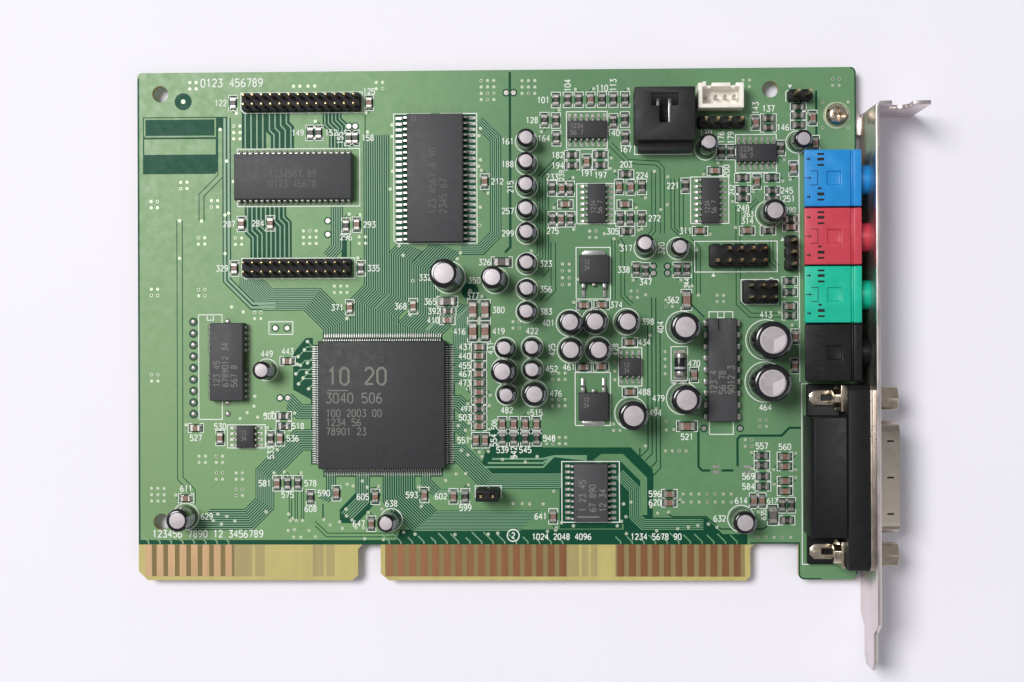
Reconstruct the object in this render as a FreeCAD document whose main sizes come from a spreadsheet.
import FreeCAD
import Part
import Sketcher
import math
import os

# A 16-bit bus sound card, lying on its solder side with the parts up.
# Board coordinates: X runs to the slot bracket, Y from the contact edge to the
# top edge, Z up from the solder side. The corner of the contact edge is zero.

V = FreeCAD.Vector
doc = FreeCAD.newDocument("sound_card")
dims = doc.addObject("Spreadsheet::Sheet", "dims")

SIZES = {
    # circuit board and its contact edge
    "board_length": 157.9,
    "board_height": 112.1,
    "board_thick": 1.6,
    "tongue_depth": 7.9,
    "left_tongue_end": 48.6,
    "right_tongue_start": 53.6,
    "right_tongue_end": 134.6,
    "port_tab_wide": 12.8,
    "tooling_dia": 3.6,
    "tooling_inset": 4.7,
    "tooling_left": 5.1,
    "tooling_low": 12.9,
    "tooling_span": 134.2,
    "finger_pitch": 2.54,
    "finger_wide": 1.5,
    "finger_long": 6.5,
    "finger_lift": 0.9,
    "finger_first": 2.2,
    "plating": 0.05,
    # slot bracket
    "bracket_gap": 1.3,
    "bracket_sheet": 0.86,
    "bracket_wide": 18.42,
    "bracket_long": 120.02,
    "bracket_top": 102.4,
    "flange_depth": 11.43,
    "bend_inside": 0.5,
    "tail_wide": 10.19,
    "tail_long": 8.0,
    "slot_wide": 4.42,
    "slot_place": 5.6,
    "slot_deep": 6.2,
    "under_clear": 2.0,
    "ear_wide": 8.4,
    "ear_long": 9.6,
    # bracket screw
    "screw_inset": 4.2,
    "screw_row": 101.6,
    "screw_hole_dia": 3.5,
    "screw_shank_dia": 2.8,
    "screw_head_dia": 5.0,
    "screw_head_tall": 1.9,
    "screw_end": 0.8,
    "fit_gap": 0.15,
    # audio jacks
    "jack_pitch": 12.31,
    "jack_first_row": 49.85,
    "jack_wide": 12.0,
    "jack_deep": 12.1,
    "jack_foot": 10.4,
    "jack_tall": 10.8,
    "jack_inset": 0.9,
    "jack_axis": 6.0,
    "barrel_dia": 6.2,
    "barrel_proud": 0.8,
    "bore_dia": 3.6,
    "bore_deep": 12.5,
    "jack_recess": 2.9,
    "jack_relief": 0.5,
    # fifteen-way port
    "port_row": 23.4,
    "port_axis": 6.3,
    "port_flange_wide": 39.1,
    "port_flange_tall": 12.5,
    "port_flange_thick": 0.9,
    "port_body_deep": 4.6,
    "port_rear_wide": 25.4,
    "port_rear_deep": 7.5,
    "port_rear_tall": 10.6,
    "port_ear_tall": 1.7,
    "shell_wide": 24.7,
    "shell_tall": 8.0,
    "shell_long": 6.6,
    "shell_wall": 0.4,
    "shell_round": 2.4,
    "port_gap": 0.3,
    "jackscrew_span": 33.32,
    "jackscrew_flats": 4.8,
    "jackscrew_long": 5.0,
    "jackscrew_shank_dia": 2.8,
    "jackscrew_bore_dia": 2.4,
    "lock_thick": 0.8,
    "lock_wide": 3.3,
    "lock_plate_wide": 5.6,
    "lock_nut_dia": 3.8,
    "lock_nut_long": 1.5,
    # leads, pins and their tails
    "lead_thick": 0.2,
    "seat_gap": 0.15,
    "tail_side": 1.4,
    "tail_out": 1.8,
    "pin_side": 0.64,
    "pin_rise": 6.0,
    "pin_pitch": 2.54,
    "pin_base_tall": 2.5,
    "pin_base_notch": 0.4,
    "fine_side": 0.5,
    "fine_foot": 1.1,
    "fine_rise": 4.0,
    "fine_pitch": 2.0,
    "fine_base_tall": 2.0,
    "shunt_tall": 5.4,
    "shunt_wide": 2.4,
    # board-mounted sockets
    "cd_wide": 12.8,
    "cd_deep": 11.4,
    "cd_tall": 8.4,
    "cd_lip_deep": 1.9,
    "cd_lip_tall": 5.0,
    "cd_wall": 1.1,
    "aux_wide": 9.8,
    "aux_deep": 5.4,
    "aux_tall": 6.0,
    "aux_wall": 0.9,
    # capacitors
    "can_small_dia": 4.0,
    "can_small_tall": 7.0,
    "can_medium_dia": 5.0,
    "can_medium_tall": 8.0,
    "can_large_dia": 6.3,
    "can_large_tall": 11.0,
    "can_output_dia": 8.0,
    "can_output_tall": 12.5,
    # chip components
    "chip_long": 2.0,
    "chip_wide": 1.25,
    "resistor_tall": 0.55,
    "capacitor_tall": 0.85,
    "big_chip_long": 3.2,
    "big_chip_wide": 1.6,
    "big_chip_tall": 1.1,
    # quad flat package
    "quad_side": 28.0,
    "quad_tall": 3.3,
    "quad_reach": 1.3,
    "quad_pitch": 0.5,
    "quad_lead": 0.22,
    # outline packages with leads on two sides
    "lead_pitch": 1.27,
    "wing_lead": 0.42,
    "rom_wide": 12.4,
    "rom_long": 28.2,
    "rom_tall": 2.6,
    "rom_reach": 2.3,
    "buffer_wide": 7.5,
    "buffer_long": 12.8,
    "buffer_tall": 2.3,
    "buffer_reach": 1.55,
    "small_wide": 3.9,
    "small_tall": 1.6,
    "small_reach": 1.35,
    "sixteen_long": 9.9,
    "fourteen_long": 8.65,
    "eight_long": 4.9,
    # packages with leads folded under them
    "strap_lead": 0.6,
    "strap_thick": 0.35,
    "strap_tall": 1.75,
    "store_wide": 10.16,
    "store_long": 26.0,
    "memory_wide": 7.6,
    "memory_long": 17.1,
    "folded_tall": 3.3,
    # dual in-line package
    "dip_wide": 6.4,
    "dip_long": 22.5,
    "dip_tall": 3.3,
    "dip_span": 7.62,
    "dip_leg": 1.2,
    "dip_leg_thick": 0.25,
    "dip_notch_wide": 1.8,
    "dip_notch_long": 2.8,
    "dip_notch_deep": 0.6,
    # voltage regulators
    "regulator_wide": 6.5,
    "regulator_long": 6.1,
    "regulator_tall": 2.3,
    "regulator_metal": 0.5,
    "regulator_tab": 1.15,
    "regulator_leg": 0.8,
    "regulator_leg_pitch": 4.6,
    "regulator_leg_reach": 3.15,
    # round diode
    "diode_dia": 2.5,
    "diode_long": 5.0,
}

# A package's upper half leans in by this angle.
DRAFT = 7.0

# Round forms that repeat are drawn with flats: cans, barrels, and what a screw's head covers.
# These are counts, so they are rounded where they are used.
CAN_FLATS = 12
BARREL_FLATS = 16
HOLE_FLATS = 24
HIDDEN_FLATS = 8

for row, (alias, value) in enumerate(SIZES.items(), start=1):
    dims.set("A%d" % row, alias)
    dims.set("B%d" % row, str(value))
    dims.setAlias("B%d" % row, alias)
doc.recompute()


def size(alias):
    return float(dims.get(alias))


# Datum: the middle of the card's box, on the plane it rests on.
top = size("board_thick")
plate_in = size("board_length") + size("bracket_gap")
plate_out = plate_in + size("bracket_sheet")
flange_tip = plate_in + size("flange_depth")
tail_tip = size("bracket_top") - size("bracket_long")
rest = -size("under_clear")
bracket_mid = rest + size("bracket_wide") / 2
DATUM = V(-flange_tip / 2, -(tail_tip + size("board_height")) / 2, -rest)

nodes = []


def place(thing, x, y, z, turn=0):
    thing.Placement = FreeCAD.Placement(DATUM + V(x, y, z), FreeCAD.Rotation(V(0, 0, 1), turn))


def bind(thing, prop, expression):
    thing.setExpression(prop, expression)


def new_body(label, x=0, y=0, z=0, turn=0):
    body = doc.addObject("PartDesign::Body", label)
    body.Label = label
    body.AllowCompound = True
    place(body, x, y, z, turn)
    return body


def node(thing):
    nodes.append(thing)
    return thing


def group(label, things):
    compound = doc.addObject("Part::Compound", label)
    compound.Label = label
    compound.Links = things
    return node(compound)


def origin(body, role):
    for feature in body.Origin.OriginFeatures:
        if feature.Role == role:
            return feature


def new_sketch(body, role, offset=0.0):
    sketch = body.newObject("Sketcher::SketchObject", body.Label + "_sketch")
    sketch.AttachmentSupport = (origin(body, role), [""])
    sketch.MapMode = "FlatFace"
    sketch.AttachmentOffset = FreeCAD.Placement(V(0, 0, offset), FreeCAD.Rotation())
    return sketch


def outline(sketch, corners, arcs=True):
    """Closed outline through (x, y, radius) corners; a radius is an arc, or a straight cut of that size."""
    ends = []
    for i, (x, y, radius) in enumerate(corners):
        here = V(x, y, 0)
        before = V(corners[i - 1][0], corners[i - 1][1], 0) - here
        after = V(corners[(i + 1) % len(corners)][0], corners[(i + 1) % len(corners)][1], 0) - here
        if radius:
            half = before.getAngle(after) / 2
            run = radius / math.tan(half)
            start = here + before.normalize() * run
            end = here + after.normalize() * run
            middle = here + (before + after).normalize() * (radius / math.sin(half) - radius)
            if arcs:
                sketch.addGeometry(Part.Arc(start, middle, end), False)
            else:
                sketch.addGeometry(Part.LineSegment(start, end), False)
            ends.append((start, end))
        else:
            ends.append((here, here))
    for i, (start, end) in enumerate(ends):
        following = ends[(i + 1) % len(ends)][0]
        if (following - end).Length > 1e-6:
            sketch.addGeometry(Part.LineSegment(end, following), False)


def rectangle(sketch, low_x, low_y, high_x, high_y, radius=0):
    corners = [(low_x, low_y), (high_x, low_y), (high_x, high_y), (low_x, high_y)]
    outline(sketch, [(x, y, radius) for x, y in corners], arcs=False)


def centred_rectangle(sketch, wide, tall):
    """Rectangle about the origin, its sides bound to expressions of the sheet."""
    corners = [V(-1, -1, 0), V(1, -1, 0), V(1, 1, 0), V(-1, 1, 0)]
    for i in range(4):
        sketch.addGeometry(Part.LineSegment(corners[i], corners[(i + 1) % 4]), False)
    for i in range(4):
        sketch.addConstraint(Sketcher.Constraint("Coincident", i, 2, (i + 1) % 4, 1))
    for i in range(4):
        sketch.addConstraint(Sketcher.Constraint("Vertical" if i % 2 else "Horizontal", i))
    sketch.addConstraint(Sketcher.Constraint("Symmetric", 0, 1, 2, 1, -1, 1))
    across = sketch.addConstraint(Sketcher.Constraint("DistanceX", 0, 1, 0, 2, 2.0))
    along = sketch.addConstraint(Sketcher.Constraint("DistanceY", 1, 1, 1, 2, 2.0))
    sketch.setExpression("Constraints[%d]" % across, wide)
    sketch.setExpression("Constraints[%d]" % along, tall)


def circle(sketch, x, y, radius):
    sketch.addGeometry(Part.Circle(V(x, y, 0), V(0, 0, 1), radius), False)


def flats(sketch, x, y, across, count):
    """Regular outline with this many flats; the size is measured across them."""
    count = round(count)
    corner = across / 2 / math.cos(math.pi / count)
    turns = [math.pi * (2 * i + 1) / count for i in range(count)]
    outline(sketch, [(x + corner * math.cos(t), y + corner * math.sin(t), 0) for t in turns])


def pad(body, sketch, length, reverse=False, taper=0.0):
    feature = body.newObject("PartDesign::Pad", body.Label + "_pad")
    feature.Profile = sketch
    feature.Reversed = reverse
    feature.TaperAngle = taper
    bind(feature, "Length", length)
    return feature


def pocket(body, sketch, length=None, reverse=False):
    feature = body.newObject("PartDesign::Pocket", body.Label + "_pocket")
    feature.Profile = sketch
    feature.Reversed = reverse
    if length is None:
        feature.Type = 1
    else:
        bind(feature, "Length", length)
    return feature


def row_of(body, feature, axis, count, pitch):
    pattern = body.newObject("PartDesign::LinearPattern", body.Label + "_row")
    pattern.Originals = [feature]
    pattern.Direction = (origin(body, axis), [""])
    pattern.Occurrences = count
    bind(pattern, "Length", "%s * %d" % (pitch, count - 1))
    body.Tip = pattern
    return pattern


def soldered_tail(label, side, out, x, y):
    """Soldered end of a lead under the board: a square foot that tapers to a point."""
    tail = doc.addObject("Part::Wedge", label)
    for prop in ("Xmin", "Zmin"):
        bind(tail, prop, "-(%s) / 2" % side)
    for prop in ("Xmax", "Zmax"):
        bind(tail, prop, "(%s) / 2" % side)
    for prop in ("Ymin", "X2min", "X2max", "Z2min", "Z2max"):
        setattr(tail, prop, 0)
    bind(tail, "Ymax", out)
    down = FreeCAD.Rotation(V(1, 0, 0), -90)
    tail.Placement = FreeCAD.Placement(DATUM + V(x, y, 0), down)
    return tail


def box(label, sides, x, y, z, turn=0):
    """Box standing on its middle; sides are three expressions of the sheet."""
    thing = doc.addObject("Part::Box", label)
    for prop, expression in zip(("Length", "Width", "Height"), sides):
        bind(thing, prop, expression)
    doc.recompute([thing])
    half = V(thing.Length.Value / 2, thing.Width.Value / 2, 0)
    spin = FreeCAD.Rotation(V(0, 0, 1), turn)
    thing.Placement = FreeCAD.Placement(DATUM + V(x, y, z) - spin.multVec(half), spin)
    return thing


def make_board():
    body = node(new_body("pcb"))
    length = size("board_length")
    height = size("board_height")
    step = size("tongue_depth")
    key_left = size("left_tongue_end")
    key_right = size("right_tongue_start")
    tongue_end = size("right_tongue_end")
    tab = length - size("port_tab_wide")
    sketch = new_sketch(body, "XY_Plane")
    outline(sketch, [
        (0, 2.0, 0),
        (2.0, 0, 0),
        (key_left - 1.2, 0, 0),
        (key_left, 1.2, 0),
        (key_left, step - 1.0, 0),
        (key_left + 1.0, step, 0),
        (key_right, step, 0),
        (key_right, 1.5, 0),
        (key_right + 1.8, 0, 0),
        (tongue_end - 1.0, 0, 0),
        (tongue_end, 1.0, 0),
        (tongue_end, step - 0.8, 0),
        (tongue_end + 1.0, step + 0.2, 0),
        (tab, step + 0.2, 0),
        (tab, 0.3, 1.2),
        (length - 1.0, 0.3, 0),
        (length, 1.3, 0),
        (length, height, 1.2),
        (0, height, 1.0),
    ])
    left = size("tooling_left")
    upper = height - size("tooling_inset")
    right = left + size("tooling_span")
    for x, y in ((left, upper), (right, upper), (left, size("tooling_low"))):
        flats(sketch, x, y, size("tooling_dia"), HOLE_FLATS)
    flats(sketch, length - size("screw_inset"), size("screw_row"), size("screw_hole_dia"), HIDDEN_FLATS)
    pad(body, sketch, "dims.board_thick")


def make_edge_contacts():
    """Fingers at the bus pitch; the runs of places that this card fills, both faces."""
    body = node(new_body("edge_contacts"))
    runs = ((0, 8), (21, 16), (41, 11))
    for first, count in runs:
        left = size("finger_first") + first * size("finger_pitch")
        for under in (False, True):
            sketch = new_sketch(body, "XY_Plane", 0 if under else top)
            low = size("finger_lift")
            half = size("finger_wide") / 2
            rectangle(sketch, left - half, low, left + half, low + size("finger_long"))
            finger = pad(body, sketch, "dims.plating", reverse=under)
            row_of(body, finger, "X_Axis", count, "dims.finger_pitch")


def d_corners(wide, tall, radius):
    lean = math.tan(math.radians(10)) * tall
    half = wide / 2
    return [
        (-half, tall / 2, radius),
        (-half + lean, -tall / 2, radius),
        (half - lean, -tall / 2, radius),
        (half, tall / 2, radius),
    ]


def shifted(corners, across, up):
    return [(x + across, y + up, radius) for x, y, radius in corners]


def jack_rows():
    first = size("jack_first_row")
    return [first + i * size("jack_pitch") for i in range(4)]


def port_height():
    return top + size("port_axis")


def make_bracket():
    """Folded sheet: plate and flange from one bent section, then the cut-outs."""
    body = node(new_body("bracket", plate_in, 0, 0))
    sheet = size("bracket_sheet")
    upper = size("bracket_top")
    depth = size("flange_depth")
    inside = size("bend_inside")
    high = rest + size("bracket_wide")
    section = new_sketch(body, "XY_Plane", rest)
    outline(section, [
        (0, tail_tip, 0),
        (sheet, tail_tip, 0),
        (sheet, upper - sheet, inside),
        (depth, upper - sheet, 0),
        (depth, upper, 0),
        (0, upper, inside + sheet),
    ])
    pad(body, section, "dims.bracket_wide")

    ear = new_sketch(body, "XY_Plane", 0)
    centre = size("screw_row")
    half = size("ear_wide") / 2
    ear_end = -size("ear_long") - size("bracket_gap")
    bend = upper - sheet - inside
    outline(ear, [
        (0, centre - half, 0),
        (0, bend, 0),
        (-size("bracket_gap"), centre + half, 0),
        (ear_end, centre + half, 1.5),
        (ear_end, centre - half, 1.5),
    ], arcs=False)
    screw_x = -size("bracket_gap") - size("screw_inset")
    flats(ear, screw_x, centre, size("screw_shank_dia") + 2 * size("fit_gap"), HIDDEN_FLATS)
    pad(body, ear, "dims.bracket_sheet", reverse=True)

    cuts = new_sketch(body, "YZ_Plane")
    half_tail = size("tail_wide") / 2
    shoulder = tail_tip + size("tail_long")
    for sign in (1, -1):
        edge = high + 1 if sign > 0 else rest - 1
        side = high if sign > 0 else rest
        outline(cuts, [
            (tail_tip - 1, edge, 0),
            (tail_tip - 1, bracket_mid + sign * 3.2, 0),
            (tail_tip, bracket_mid + sign * 3.2, 0),
            (tail_tip + 2.2, bracket_mid + sign * half_tail, 0),
            (shoulder, bracket_mid + sign * half_tail, 0),
            (shoulder + 2.6, side, 0),
            (shoulder + 2.6, edge, 0),
        ])
    for row in jack_rows():
        circle(cuts, row, top + size("jack_axis"), size("barrel_dia") / 2 + size("fit_gap"))
    gap = size("port_gap")
    opening = d_corners(size("shell_wide") + 2 * gap, size("shell_tall") + 2 * gap, size("shell_round"))
    outline(cuts, shifted(opening, size("port_row"), port_height()))
    for sign in (1, -1):
        row = size("port_row") + sign * size("jackscrew_span") / 2
        flats(cuts, row, port_height(), size("jackscrew_shank_dia") + 2 * size("fit_gap"), HIDDEN_FLATS)
    pocket(body, cuts, "dims.bracket_sheet * 2", reverse=True)

    slot = new_sketch(body, "XZ_Plane", -upper)
    left = size("slot_place") - size("slot_wide") / 2
    right = size("slot_place") + size("slot_wide") / 2
    low = high - size("slot_deep")
    round_end = size("slot_wide") / 2 - 0.001
    outline(slot, [
        (left, high + 1, 0),
        (left, low, round_end),
        (right, low, round_end),
        (right, high + 1, 0),
    ])
    pocket(body, slot, "dims.bracket_sheet * 2", reverse=True)


def make_bracket_screw():
    body = node(new_body(
        "bracket_screw", size("board_length") - size("screw_inset"), size("screw_row"), top))
    shank = new_sketch(body, "XY_Plane")
    flats(shank, 0, 0, size("screw_shank_dia"), HIDDEN_FLATS)
    pad(body, shank, "dims.board_thick + dims.bracket_sheet + dims.screw_end", reverse=True)
    head = new_sketch(body, "XY_Plane")
    flats(head, 0, 0, size("screw_head_dia"), CAN_FLATS)
    pad(body, head, "dims.screw_head_tall")


def make_port():
    flange_back = plate_in - size("port_flange_thick")
    row = size("port_row")
    half = size("port_flange_wide") / 2
    half_tall = size("port_flange_tall") / 2
    wall = size("shell_wall")
    shell = d_corners(size("shell_wide"), size("shell_tall"), size("shell_round"))
    bore = d_corners(size("shell_wide") - 2 * wall, size("shell_tall") - 2 * wall,
                     size("shell_round") - wall)
    screw_rows = (-size("jackscrew_span") / 2, size("jackscrew_span") / 2)

    metal = node(new_body("port_shell", flange_back, row, port_height()))
    flange = new_sketch(metal, "YZ_Plane")
    rectangle(flange, -half, -half_tall, half, half_tall, 1.0)
    outline(flange, bore, arcs=False)
    for across in screw_rows:
        flats(flange, across, 0, size("jackscrew_shank_dia") + 2 * size("fit_gap"), HIDDEN_FLATS)
    pad(metal, flange, "dims.port_flange_thick")
    collar = new_sketch(metal, "YZ_Plane")
    outline(collar, shell)
    outline(collar, bore, arcs=False)
    pad(metal, collar, "dims.shell_long")

    plastic = node(new_body("port_housing", flange_back, row, top))
    axis = size("port_axis")
    front = new_sketch(plastic, "YZ_Plane")
    rectangle(front, -half, 0, half, axis + half_tall, 1.0)
    pad(plastic, front, "dims.port_body_deep", reverse=True)
    rear = new_sketch(plastic, "XZ_Plane", -size("port_rear_wide") / 2)
    back = -size("port_body_deep") - size("port_rear_deep")
    outline(rear, [
        (-size("port_body_deep"), 0, 0),
        (-size("port_body_deep"), size("port_rear_tall"), 0),
        (back + 0.8, size("port_rear_tall"), 0),
        (back, size("port_rear_tall") - 0.8, 0),
        (back, 0, 0),
    ])
    pad(plastic, rear, "dims.port_rear_wide")
    ears = new_sketch(plastic, "XZ_Plane", -half)
    rectangle(ears, back + 0.6, 0, -size("port_body_deep"), size("port_ear_tall"))
    pad(plastic, ears, "dims.port_flange_wide")
    insert = new_sketch(plastic, "YZ_Plane")
    face = d_corners(size("shell_wide") - 2 * wall - 0.1, size("shell_tall") - 2 * wall - 0.1,
                     size("shell_round") - wall)
    outline(insert, shifted(face, 0, axis), arcs=False)
    pad(plastic, insert, "dims.shell_long - 0.5")

    tails = []
    for i in range(15):
        lane = 0 if i < 8 else 1
        step = i if lane == 0 else i - 8 + 0.5
        x = flange_back + back + 2.4 + 2.84 * lane
        y = row + (step - 3.5) * 2.77
        tails.append(soldered_tail("port_tail", "dims.tail_side", "dims.tail_out", x, y))
    group("port_pin_tails", tails)

    locks = []
    for across in screw_rows:
        x = flange_back + back + 0.9
        lock = new_body("port_lock", x, row + across, top + size("port_ear_tall"))
        strap = new_sketch(lock, "XY_Plane")
        reach = size("port_rear_deep") - 0.9
        narrow = size("lock_wide") / 2
        broad = size("lock_plate_wide") / 2
        outline(strap, [
            (0, -narrow, 1.0),
            (reach - 1.5, -narrow, 0),
            (reach - 1.0, -broad, 0),
            (reach, -broad, 0),
            (reach, broad, 0),
            (reach - 1.0, broad, 0),
            (reach - 1.5, narrow, 0),
            (0, narrow, 1.0),
        ], arcs=False)
        rectangle(strap, 2.5, -0.7, 4.8, 0.7)
        pad(lock, strap, "dims.lock_thick")
        plate_face = reach - size("lock_thick")
        axis_up = size("port_axis") - size("port_ear_tall")
        plate = new_sketch(lock, "YZ_Plane", plate_face)
        rectangle(plate, -broad, 0, broad, axis_up + broad - 0.4)
        pad(lock, plate, "dims.lock_thick")
        nut = new_sketch(lock, "YZ_Plane", plate_face)
        flats(nut, 0, axis_up, size("lock_nut_dia"), HIDDEN_FLATS)
        pad(lock, nut, "dims.lock_nut_long", reverse=True)
        locks.append(lock)
    group("port_board_locks", locks)

    screws = []
    for across in screw_rows:
        screw = new_body("jackscrew", plate_out, row + across, port_height())
        head = new_sketch(screw, "YZ_Plane")
        flats(head, 0, 0, size("jackscrew_flats"), 6)
        pad(screw, head, "dims.jackscrew_long")
        shank = new_sketch(screw, "YZ_Plane")
        flats(shank, 0, 0, size("jackscrew_shank_dia"), HIDDEN_FLATS)
        pad(screw, shank, "dims.bracket_sheet + dims.port_flange_thick", reverse=True)
        hole = new_sketch(screw, "YZ_Plane", size("jackscrew_long"))
        circle(hole, 0, 0, size("jackscrew_bore_dia") / 2)
        pocket(screw, hole, "dims.jackscrew_long - 0.6")
        screws.append(screw)
    group("jackscrews", screws)


def make_jack(label, row):
    """Block whose rear leans out over the board, a barrel through the bracket, a bore for the plug."""
    front = size("board_length") - size("jack_inset")
    body = node(new_body(label, front, row, top))
    half = size("jack_wide") / 2
    tall = size("jack_tall")
    shape = new_sketch(body, "XZ_Plane", -half)
    outline(shape, [
        (0, 0, 0),
        (0, tall, 0),
        (-size("jack_deep"), tall, 0),
        (-size("jack_foot"), 0, 0),
    ])
    pad(body, shape, "dims.jack_wide")
    barrel = new_sketch(body, "YZ_Plane")
    flats(barrel, 0, size("jack_axis"), size("barrel_dia"), BARREL_FLATS)
    reach = "dims.jack_inset + dims.bracket_gap + dims.bracket_sheet + dims.barrel_proud"
    pad(body, barrel, reach)
    end = size("jack_inset") + size("bracket_gap") + size("bracket_sheet") + size("barrel_proud")
    bore = new_sketch(body, "YZ_Plane", end)
    circle(bore, 0, size("jack_axis"), size("bore_dia") / 2)
    pocket(body, bore, "dims.bore_deep")
    marks = new_sketch(body, "XY_Plane", tall)
    rectangle(marks, -2.3, -half - 1, -1.8, half + 1)
    window = size("jack_recess") / 2
    rectangle(marks, -5.8 - window, -window, -5.8 + window, window)
    pocket(body, marks, "dims.jack_relief")


def make_jacks():
    for label, row in zip(("jack_speaker", "jack_line_out", "jack_microphone", "jack_line_in"),
                          jack_rows()):
        make_jack(label, row)
    tails = []
    front = size("board_length") - size("jack_inset")
    for row in jack_rows():
        for back, across in ((2.2, 0), (6.2, -4.6), (6.2, 4.6), (9.6, -2.6), (9.6, 2.6)):
            x, y = front - back, row + across
            tails.append(soldered_tail("jack_tail", "dims.tail_side", "dims.tail_out", x, y))
    group("jack_terminals", tails)


def chip_body(label, x, y, turn, wide, long, tall):
    """Moulded package: straight to the lead frame, then drafted to the top. Sizes are aliases."""
    body = new_body(label, x, y, top, turn)
    lower = new_sketch(body, "XY_Plane", size("seat_gap"))
    centred_rectangle(lower, "dims." + wide, "dims." + long)
    pad(body, lower, "dims.%s / 2" % tall)
    upper = new_sketch(body, "XY_Plane", size("seat_gap") + size(tall) / 2)
    centred_rectangle(upper, "dims." + wide, "dims." + long)
    pad(body, upper, "dims.%s / 2 - dims.seat_gap" % tall, taper=-DRAFT)
    return body


def lead_pair(body, axis, profile, start, count, pitch, wide):
    """One lead on each side of a package, repeated along its sides; sizes are aliases."""
    role = "XZ_Plane" if axis == "Y_Axis" else "YZ_Plane"
    half = size(wide) / 2
    offset = -start - half if axis == "Y_Axis" else start - half
    sketch = new_sketch(body, role, offset)
    outline(sketch, [(x, z, 0) for x, z in profile])
    outline(sketch, [(-x, z, 0) for x, z in profile])
    feature = pad(body, sketch, "dims." + wide)
    row_of(body, feature, axis, count, "dims." + pitch)


def wing_profile(half_body, reach, tall):
    """Lead that leaves the lower half of a package and slopes to a thin end on the board."""
    thick = size("lead_thick")
    leaves = size("seat_gap") + size(tall) / 2 - thick
    return [(half_body, leaves - thick), (half_body + reach, 0), (half_body, leaves)]


def strap_profile(half_body):
    outer = half_body + size("strap_thick")
    height = size("strap_tall")
    return [(half_body, 0), (outer, 0), (outer, height), (half_body, height)]


def wing_leads(label, x, y, turn, count, wide, reach, tall):
    body = new_body(label, x, y, top, turn)
    profile = wing_profile(size(wide) / 2, size(reach), tall)
    start = -(count - 1) * size("lead_pitch") / 2
    lead_pair(body, "Y_Axis", profile, start, count, "lead_pitch", "wing_lead")
    return body


def small_leads(label, x, y, turn, count):
    return wing_leads(label, x, y, turn, count, "small_wide", "small_reach", "small_tall")


def make_chips():
    pitch = size("lead_pitch")

    # main processor, a quad flat package with leads on four sides
    x, y = 54.2, 38.7
    node(chip_body("main_chip_body", x, y, 0, "quad_side", "quad_side", "quad_tall"))
    leads = node(new_body("main_chip_leads", x, y, top))
    profile = wing_profile(size("quad_side") / 2, size("quad_reach"), "quad_tall")
    per_side = 52
    start = -(per_side - 1) * size("quad_pitch") / 2
    for axis in ("Y_Axis", "X_Axis"):
        lead_pair(leads, axis, profile, start, per_side, "quad_pitch", "quad_lead")

    # sample memory in a wide outline package
    x, y = 66.0, 88.3
    node(chip_body("sample_rom_body", x, y, 0, "rom_wide", "rom_long", "rom_tall"))
    node(wing_leads("sample_rom_leads", x, y, 0, 22, "rom_wide", "rom_reach", "rom_tall"))

    # program memory with folded leads along its long sides
    x, y = 34.9, 88.75
    node(chip_body("program_rom_body", x, y, 90, "store_wide", "store_long", "folded_tall"))
    leads = node(new_body("program_rom_leads", x, y, top, 90))
    profile = strap_profile(size("store_wide") / 2)
    lead_pair(leads, "Y_Axis", profile, -19 * pitch / 2, 20, "lead_pitch", "strap_lead")

    # working memory, folded leads in two groups of five on each side
    x, y = 20.2, 48.2
    node(chip_body("memory_chip_body", x, y, 0, "memory_wide", "memory_long", "folded_tall"))
    leads = node(new_body("memory_chip_leads", x, y, top))
    profile = strap_profile(size("memory_wide") / 2)
    for start in (-6 * pitch, 2 * pitch):
        lead_pair(leads, "Y_Axis", profile, start, 5, "lead_pitch", "strap_lead")

    # bus buffer
    x, y = 99.8, 19.4
    node(chip_body("bus_buffer_body", x, y, 0, "buffer_wide", "buffer_long", "buffer_tall"))
    node(wing_leads("bus_buffer_leads", x, y, 0, 10, "buffer_wide", "buffer_reach", "buffer_tall"))

    # mixer
    x, y = 126.1, 83.05
    node(chip_body("mixer_chip_body", x, y, 0, "small_wide", "sixteen_long", "small_tall"))
    node(small_leads("mixer_chip_leads", x, y, 0, 8))

    # three amplifiers of fourteen leads, two parts of eight leads
    for name, places, long, count in (
            ("op_amp", ((99.3, 98.75, 90), (136.2, 93.4, 90), (101.3, 82.6, 0)), "fourteen_long", 7),
            ("small_chip", ((24.0, 31.7, 0), (108.5, 46.8, 90)), "eight_long", 4)):
        bodies = [chip_body(name, x, y, t, "small_wide", long, "small_tall") for x, y, t in places]
        group(name + "_bodies", bodies)
        group(name + "_leads", [small_leads(name + "_wings", x, y, t, count) for x, y, t in places])


def make_power_amp():
    """Dual in-line package with its end notch and shouldered legs."""
    x, y = 128.4, 46.1
    body = node(chip_body("power_amp_body", x, y, 0, "dip_wide", "dip_long", "dip_tall"))
    notch = new_sketch(body, "XY_Plane", size("dip_tall"))
    half_notch = size("dip_notch_wide") / 2
    end = size("dip_long") / 2
    rectangle(notch, -half_notch, end - size("dip_notch_long"), half_notch, end + 1)
    pocket(body, notch, "dims.dip_notch_deep")
    leads = node(new_body("power_amp_leads", x, y, top))
    level = size("seat_gap") + size("dip_tall") / 2
    thick = size("dip_leg_thick")
    half = size("dip_wide") / 2
    outer = (size("dip_span") + thick) / 2
    profile = [
        (half, level - thick),
        (outer - thick, level - thick),
        (outer - thick, 0),
        (outer, 0),
        (outer, level),
        (half, level),
    ]
    lead_pair(leads, "Y_Axis", profile, -4 * size("pin_pitch"), 9, "pin_pitch", "dip_leg")


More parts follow.
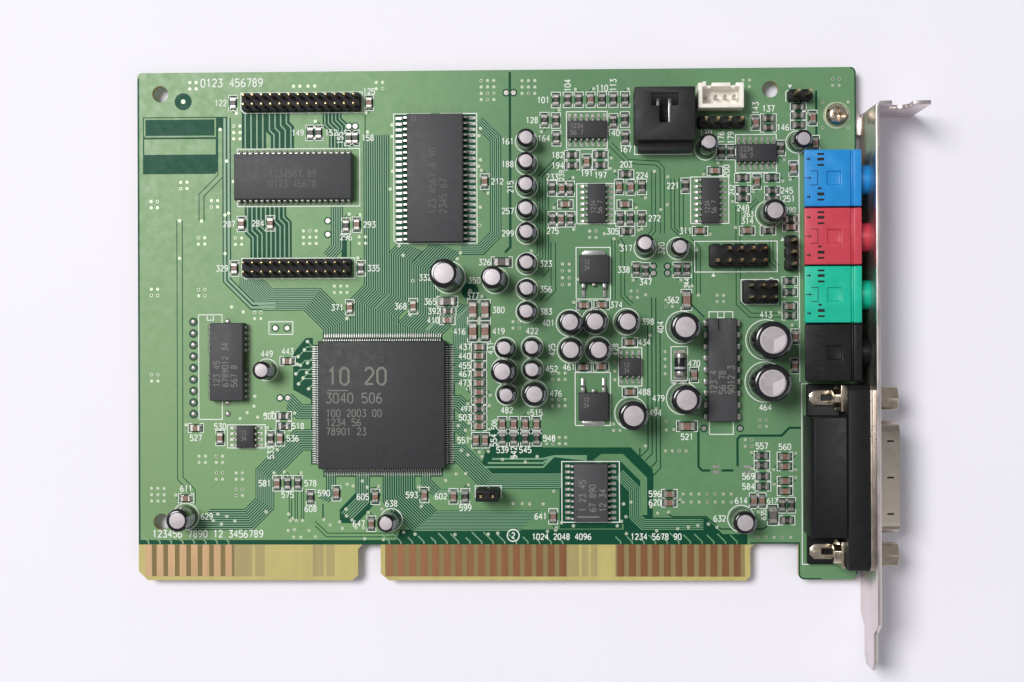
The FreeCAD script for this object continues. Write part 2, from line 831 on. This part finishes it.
def make_regulators():
    """Two packages, each with a soldered tab at one end, two legs and a stub at the other."""
    half_wide = size("regulator_wide") / 2
    edge = size("regulator_long") / 2
    metal = size("regulator_metal")
    reach = edge + size("regulator_leg_reach")
    half_leg = size("regulator_leg") / 2
    half_pitch = size("regulator_leg_pitch") / 2
    level = size("regulator_tall") / 2
    bodies = []
    frames = []
    for x, y, turn in ((100.7, 68.2, 0), (100.5, 38.2, 180)):
        bodies.append(chip_body("regulator", x, y, turn, "regulator_wide", "regulator_long", "regulator_tall"))
        frame = new_body("regulator_metal", x, y, top, turn)
        tab = new_sketch(frame, "XY_Plane")
        outline(tab, [
            (-half_wide + 0.6, edge, 0),
            (half_wide - 0.6, edge, 0),
            (half_wide - 0.6, edge + size("regulator_tab"), 0.6),
            (-half_wide + 0.6, edge + size("regulator_tab"), 0.6),
        ], arcs=False)
        pad(frame, tab, "dims.regulator_metal")
        legs = new_sketch(frame, "YZ_Plane", -half_pitch - half_leg)
        outline(legs, [
            (-edge, level - metal, 0),
            (-edge, level, 0),
            (-edge - 1.0, level, 0),
            (-edge - 1.6, metal, 0),
            (-reach, metal, 0),
            (-reach, 0, 0),
            (-edge - 1.3, 0, 0),
            (-edge - 0.7, level - metal, 0),
        ])
        leg = pad(frame, legs, "dims.regulator_leg")
        row_of(frame, leg, "X_Axis", 2, "dims.regulator_leg_pitch")
        stub = new_sketch(frame, "XY_Plane", level - metal)
        rectangle(stub, -half_leg, -edge - 0.65, half_leg, -edge)
        pad(frame, stub, "dims.regulator_metal")
        frames.append(frame)
    group("regulator_bodies", bodies)
    group("regulator_metal_parts", frames)


def make_diode():
    body = node(new_body("diode", 119.3, 47.3, top + size("diode_dia") / 2))
    round_end = new_sketch(body, "XZ_Plane", -size("diode_long") / 2)
    flats(round_end, 0, 0, size("diode_dia"), CAN_FLATS)
    pad(body, round_end, "dims.diode_long")


def strip_corners(count, rows):
    """Header base: a chamfer at each corner of each place along the strip."""
    pitch = size("pin_pitch")
    cut = size("pin_base_notch")
    half = rows * pitch / 2
    lower = []
    for i in range(count):
        left = (i - count / 2) * pitch
        lower.append((left + cut, -half, 0))
        lower.append((left + pitch - cut, -half, 0))
        if i < count - 1:
            lower.append((left + pitch, -half + cut, 0))
    ends = [(count * pitch / 2, -half + cut, 0), (count * pitch / 2, half - cut, 0)]
    upper = [(-x, -y, 0) for x, y, radius in lower]
    far_ends = [(-x, -y, 0) for x, y, radius in ends]
    return lower + ends + upper + far_ends


def header(label, x, y, turn, count, rows, missing=()):
    """Base node, and its pins for the shared node of header pins."""
    body = node(new_body(label, x, y, top, turn))
    sketch = new_sketch(body, "XY_Plane")
    outline(sketch, strip_corners(count, rows))
    pad(body, sketch, "dims.pin_base_tall")
    pitch = size("pin_pitch")
    pins = []
    spin = FreeCAD.Rotation(V(0, 0, 1), turn)
    for i in range(count):
        for j in range(rows):
            if (i, j) in missing:
                continue
            local = V((i - (count - 1) / 2) * pitch, (j - (rows - 1) / 2) * pitch, 0)
            local = spin.multVec(local)
            sides = ("dims.pin_side", "dims.pin_side", "dims.pin_rise")
            pins.append(box("pin", sides, x + local.x, y + local.y, top + size("pin_base_tall")))
    return pins


def make_headers():
    pins = header("modem_header_base", 132.1, 71.0, 0, 5, 2, missing=((0, 1),))
    pins += header("speaker_header_base", 136.8, 63.1, 0, 3, 2)
    pins += header("microphone_header_base", 143.4, 71.5, 90, 3, 1)
    pins += header("telephone_header_base", 128.4, 100.0, 0, 4, 1)
    pins += header("beeper_header_base", 145.5, 105.7, 0, 2, 1)
    pins += header("jumper_base", 77.4, 19.3, 0, 2, 1)
    group("header_pins", pins)

    shunt = node(new_body("jumper_shunt", 77.4, 19.3, top + size("pin_base_tall")))
    sketch = new_sketch(shunt, "XY_Plane")
    centred_rectangle(sketch, "dims.pin_pitch * 2 - 0.2", "dims.shunt_wide")
    hole = size("pin_side") / 2 + size("fit_gap")
    for sign in (-1, 1):
        middle = sign * size("pin_pitch") / 2
        rectangle(sketch, middle - hole, -hole, middle + hole, hole)
    pad(shunt, sketch, "dims.shunt_tall")

    uppers = []
    tails = []
    pitch = size("fine_pitch")
    for label, x, y, count in (("upper_memory_header_base", 36.6, 105.2, 13),
                               ("lower_memory_header_base", 35.5, 68.8, 12)):
        sides = ("dims.fine_pitch * %d" % count, "dims.fine_pitch * 2", "dims.fine_base_tall")
        base = node(box(label, sides, x, y, top))
        base.Label = label
        for i in range(count):
            for across in (-pitch / 2, pitch / 2):
                px = x + (i - (count - 1) / 2) * pitch
                sides = ("dims.fine_side", "dims.fine_side", "dims.fine_rise")
                uppers.append(box("fine_pin", sides, px, y + across, top + size("fine_base_tall")))
                tails.append(soldered_tail("fine_tail", "dims.fine_foot", "dims.under_clear", px, y + across))
    group("memory_header_pins", uppers)
    group("memory_header_tails", tails)


def make_cd_socket():
    """Right-angle socket: its mouth faces the top edge, a latch window on its roof."""
    x, y = 115.8, 101.1
    body = node(new_body("cd_socket", x, y, top))
    half = size("cd_wide") / 2
    back = -size("cd_deep") / 2
    mouth = size("cd_deep") / 2
    wall = size("cd_wall")
    block = new_sketch(body, "XY_Plane")
    rectangle(block, -half, back, half, mouth)
    pad(body, block, "dims.cd_tall")
    lip = new_sketch(body, "XY_Plane")
    rectangle(lip, -half + 0.9, back - size("cd_lip_deep"), half - 0.3, back)
    pad(body, lip, "dims.cd_lip_tall")
    cavity = new_sketch(body, "XZ_Plane", -mouth)
    rectangle(cavity, -half + wall, wall, half - wall, size("cd_tall") - wall)
    pocket(body, cavity, "dims.cd_deep - 3", reverse=True)
    latch = new_sketch(body, "XY_Plane", size("cd_tall"))
    outline(latch, [(-1.2, back + 3.8, 0), (1.2, back + 3.8, 0), (1.2, mouth - 4.0, 0),
                    (2.9, mouth - 4.0, 0), (2.9, mouth - 1.4, 0), (-2.9, mouth - 1.4, 0),
                    (-2.9, mouth - 4.0, 0), (-1.2, mouth - 4.0, 0)])
    pocket(body, latch, "dims.cd_wall")
    pins = []
    for i in range(4):
        sides = ("dims.pin_side", "dims.cd_deep - 5", "dims.pin_side")
        depth = size("cd_deep") - 5
        across = (i - 1.5) * size("pin_pitch")
        pins.append(box("cd_pin", sides, x + across, y + back + 3 + depth / 2, top + 3.9))
    group("cd_socket_pins", pins)


def make_aux_socket():
    """White wafer socket, open upward, with slots in the wall nearer the top edge."""
    x, y = 128.0, 105.25
    body = node(new_body("aux_socket", x, y, top))
    half = size("aux_wide") / 2
    half_deep = size("aux_deep") / 2
    wall = size("aux_wall")
    block = new_sketch(body, "XY_Plane")
    centred_rectangle(block, "dims.aux_wide", "dims.aux_deep")
    pad(body, block, "dims.aux_tall")
    cavity = new_sketch(body, "XY_Plane", size("aux_tall"))
    rectangle(cavity, -half + wall, -half_deep + wall, half - wall, half_deep - wall)
    pocket(body, cavity, "dims.aux_tall - 1.4")
    slots = new_sketch(body, "XY_Plane", size("aux_tall"))
    for middle in (-2.6, 2.6):
        rectangle(slots, middle - 0.6, half_deep - wall - 0.2, middle + 0.6, half_deep + 1)
    pocket(body, slots, "dims.aux_tall - 2.4")
    pins = []
    for i in range(4):
        sides = ("dims.fine_side", "dims.fine_side", "dims.aux_tall - 2.4")
        pins.append(box("aux_pin", sides, x + (i - 1.5) * size("fine_pitch"), y, top + 1.4))
    group("aux_socket_pins", pins)


def cans(label, dia, tall, places):
    things = []
    for x, y in places:
        can = doc.addObject("Part::Prism", label + "_can")
        can.Polygon = round(CAN_FLATS)
        bind(can, "Circumradius", "dims.%s / 2" % dia)
        bind(can, "Height", "dims.%s" % tall)
        place(can, x, y, top)
        things.append(can)
    group(label, things)


def make_capacitors():
    column = [(86.0, y) for y in (96.4, 91.4, 86.4, 81.1, 76.2, 69.5, 63.9, 59.0)]
    cans("small_capacitors", "can_small_dia", "can_small_tall", column + [
        (28.6, 46.4), (56.0, 13.4), (81.2, 51.0), (87.1, 51.2), (87.2, 46.4), (81.5, 40.9),
        (111.9, 72.8), (119.0, 72.7), (125.2, 94.4), (145.1, 95.8)])
    cans("medium_capacitors", "can_medium_dia", "can_medium_tall", [
        (10.5, 14.1), (79.1, 65.9), (81.0, 46.0), (87.6, 41.0), (95.3, 56.5), (100.9, 56.9),
        (107.8, 56.7), (95.5, 50.6), (101.5, 50.6), (138.9, 80.1), (132.6, 13.6)])
    cans("large_capacitors", "can_large_dia", "can_large_tall", [
        (68.9, 66.6), (119.9, 55.4), (120.0, 39.9), (108.7, 36.7)])
    cans("output_capacitors", "can_output_dia", "can_output_tall", [(138.2, 52.6), (138.0, 43.4)])


def chips(label, sides, flat, upright):
    things = []
    for x, y in flat:
        things.append(box(label + "_chip", sides, x, y, top))
    for x, y in upright:
        things.append(box(label + "_chip", sides, x, y, top, 90))
    return things


def make_chip_components():
    small = ("dims.chip_long", "dims.chip_wide")
    flat = [
        (96.0, 93.3), (96.0, 91.0), (102.2, 93.3), (102.2, 91.0), (107.8, 89.0), (108.0, 76.5),
        (133.2, 88.0), (133.3, 85.4), (133.3, 83.6), (139.6, 88.0), (139.7, 85.2), (139.7, 83.4),
        (138.9, 101.0), (138.9, 99.0), (145.4, 103.4), (145.4, 101.6), (145.4, 99.5),
        (138.7, 76.5), (143.4, 65.4), (143.4, 63.0), (143.4, 57.9), (143.6, 78.9),
        (32.3, 36.2), (32.3, 34.0), (68.7, 59.2), (75.4, 37.7),
        (137.2, 27.3), (137.2, 25.2), (137.4, 22.8), (137.4, 20.6), (142.6, 13.2)]
    upright = [
        (21.3, 105.3), (38.4, 98.6), (40.2, 98.6), (46.9, 97.4), (48.3, 97.4),
        (92.5, 105.4), (95.1, 105.4), (97.5, 105.4), (102.6, 105.4), (105.1, 105.4), (107.7, 105.4),
        (90.0, 101.0), (92.5, 100.9), (92.6, 97.0), (105.1, 100.6), (107.6, 101.0), (107.7, 97.0),
        (91.6, 86.0), (95.5, 85.9), (111.3, 86.2), (91.7, 79.2), (95.6, 79.2),
        (106.5, 79.3), (108.7, 79.3), (111.2, 79.3), (110.0, 68.1), (112.0, 67.9),
        (119.0, 68.0), (121.0, 68.0), (128.6, 93.7), (130.7, 93.7), (141.6, 94.5), (120.8, 86.4),
        (46.2, 78.1), (49.5, 68.7), (29.4, 31.3), (33.1, 21.4), (35.4, 21.4), (38.2, 18.3),
        (72.3, 18.5), (80.5, 31.2), (83.0, 31.2), (85.5, 31.2), (88.0, 31.2),
        (141.6, 16.5), (143.5, 16.5)]
    group("chip_resistors", chips("resistor", small + ("dims.resistor_tall",), flat, upright))

    flat = [
        (127.2, 89.6), (94.5, 82.5), (107.5, 82.4), (98.5, 60.3), (102.4, 60.4), (123.9, 76.5),
        (134.2, 76.5), (143.6, 77.2), (143.4, 59.9), (33.2, 48.3), (12.8, 33.6), (68.5, 57.2),
        (75.5, 51.3), (75.4, 49.3), (75.4, 47.2), (75.4, 45.4), (75.4, 43.4), (75.4, 41.4),
        (75.4, 39.5), (75.4, 35.8), (75.4, 33.9), (98.3, 46.8), (102.2, 46.9), (108.5, 52.2),
        (108.5, 41.3), (10.6, 18.1), (117.0, 19.0), (117.0, 17.1),
        (142.2, 27.1), (142.2, 25.0), (142.2, 21.8), (142.2, 19.6)]
    upright = [
        (51.4, 105.1), (76.8, 87.6), (100.1, 105.4), (99.2, 91.8), (93.7, 85.9), (106.3, 86.2),
        (108.8, 86.1), (93.5, 79.2), (136.1, 100.1), (148.5, 101.0), (149.0, 95.5), (144.3, 90.0),
        (136.3, 87.2), (122.5, 45.0), (144.6, 53.3), (144.4, 46.9), (61.0, 60.3), (47.0, 60.1),
        (48.6, 78.3), (23.1, 78.6), (29.5, 78.7), (21.5, 68.8), (18.2, 31.4), (31.5, 31.3),
        (30.8, 21.4), (43.9, 19.2), (52.5, 18.4), (51.6, 12.5), (63.3, 18.8), (69.7, 18.5),
        (91.6, 14.1), (74.7, 30.8), (76.7, 30.8), (80.5, 34.3), (83.0, 34.3), (85.5, 34.3),
        (88.0, 34.3), (135.4, 17.5), (137.1, 17.5)]
    things = chips("capacitor", small + ("dims.capacitor_tall",), flat, upright)
    large = ("dims.big_chip_long", "dims.big_chip_wide", "dims.big_chip_tall")
    tall_pairs = [(74.1, 59.4), (76.8, 59.4), (74.1, 54.7), (76.8, 54.7), (120.9, 61.4)]
    things += chips("capacitor", large, [(120.9, 33.8)], tall_pairs)
    group("chip_capacitors", things)
    group("chip_inductors", chips("inductor", large, [(68.5, 61.3), (80.5, 69.9)], [(139.5, 14.4)]))


make_board()
make_edge_contacts()
make_bracket()
make_bracket_screw()
make_port()
make_jacks()
make_chips()
make_power_amp()
make_regulators()
make_diode()
make_headers()
make_cd_socket()
make_aux_socket()
make_capacitors()
make_chip_components()
doc.recompute()

faults = []
for thing in doc.Objects:
    if "Invalid" in thing.State or "Error" in thing.State:
        faults.append("%s: %s" % (thing.Label, thing.State))
for thing in nodes:
    if thing.Shape.isNull() or not thing.Shape.isValid() or not thing.Shape.Solids:
        faults.append("%s has no valid solid" % thing.Label)
if faults:
    raise RuntimeError("; ".join(faults))

os.makedirs("parts", exist_ok=True)
for thing in nodes:
    thing.Shape.exportStep("parts/%s.step" % thing.Label)
